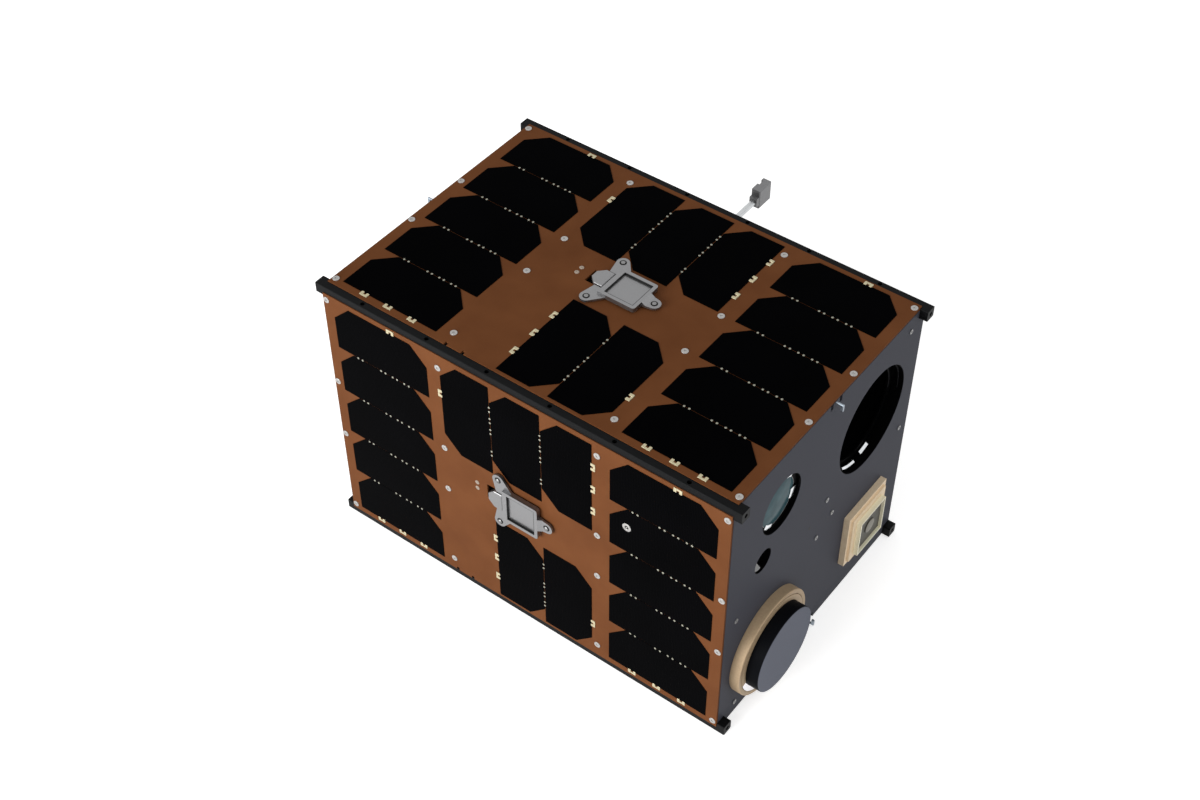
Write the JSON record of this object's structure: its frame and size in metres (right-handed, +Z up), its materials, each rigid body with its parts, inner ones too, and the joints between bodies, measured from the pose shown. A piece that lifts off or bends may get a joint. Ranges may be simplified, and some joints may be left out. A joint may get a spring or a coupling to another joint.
{
  "type": "twelve-unit cube satellite",
  "caption": "Rail-framed cube satellite with body-mounted solar cells, optics and antennas on one end plate, sun sensors and a folding magnetometer boom.",
  "frame": {"origin": "on the plane of the bottom rails faces, midway between the rails and midway along them", "axes": "+X along the rails towards the payload end, +Y towards the boom side, +Z up"},
  "size_m": [0.3517, 0.389, 0.2315],
  "materials": {
    "rail_black": "black anodised, satin",
    "plate_grey": "dark grey coating, satin",
    "panel_board": "orange-brown circuit board, matt",
    "solar_cell": "near-black solar cell under glass",
    "sensor_grey": "bead-blasted light grey",
    "tube_black": "black anodised, satin",
    "lens_glass": "coated lens, teal reflection",
    "antenna_gold": "gold chromate",
    "antenna_cream": "cream",
    "puck_black": "dark grey radome, satin",
    "patch_ceramic": "matt ceramic",
    "pin_steel": "bare steel",
    "boom_metal": "bare aluminium",
    "boom_grey": "grey anodised, satin",
    "avionics_box": "plain"
  },
  "bodies": {
    "satellite": {"rail_top_back": "rail_black", "rail_top_front": "rail_black", "rail_bottom_back": "rail_black", "rail_bottom_front": "rail_black", "panel_top": "panel_board", "cells_top": "solar_cell", "panel_front": "panel_board", "cells_front": "solar_cell", "panel_bottom": "panel_board", "cells_bottom": "solar_cell", "panel_back": "panel_board", "cells_back": "solar_cell", "payload_end_plate": "plate_grey", "rear_end_plate": "plate_grey", "payload_hooks": "pin_steel", "rear_hooks": "pin_steel", "telescope_tube": "tube_black", "telescope_glass": "lens_glass", "camera_tube": "tube_black", "camera_glass": "lens_glass", "sight_tube": "tube_black", "sight_glass": "lens_glass", "round_antenna_base": "antenna_gold", "round_antenna_puck": "puck_black", "square_antenna_base": "antenna_gold", "square_antenna_frame": "antenna_cream", "square_antenna_patch": "patch_ceramic", "sun_sensor_base_top": "sensor_grey", "sun_sensor_head_top": "sensor_grey", "sun_sensor_connector_top": "sensor_grey", "sun_sensor_base_front": "sensor_grey", "sun_sensor_head_front": "sensor_grey", "sun_sensor_connector_front": "sensor_grey", "boom_bracket": "boom_grey", "boom_pin": "pin_steel", "boom_cradle": "boom_grey", "avionics_stack": "avionics_box"},
    "boom": {"boom_knuckle": "boom_metal", "boom_rod": "boom_metal", "boom_head": "boom_grey"}
  },
  "joints": [
    {"name": "boom_hinge", "type": "hinge", "parent": "satellite", "child": "boom", "pos_m": [-0.0549, 0.12205, 0.11315], "axis": [0, 0, -1], "range_deg": [0, 90], "stiffness_Nm_per_rad": 0.01, "springref_deg": -17.19}
  ]
}
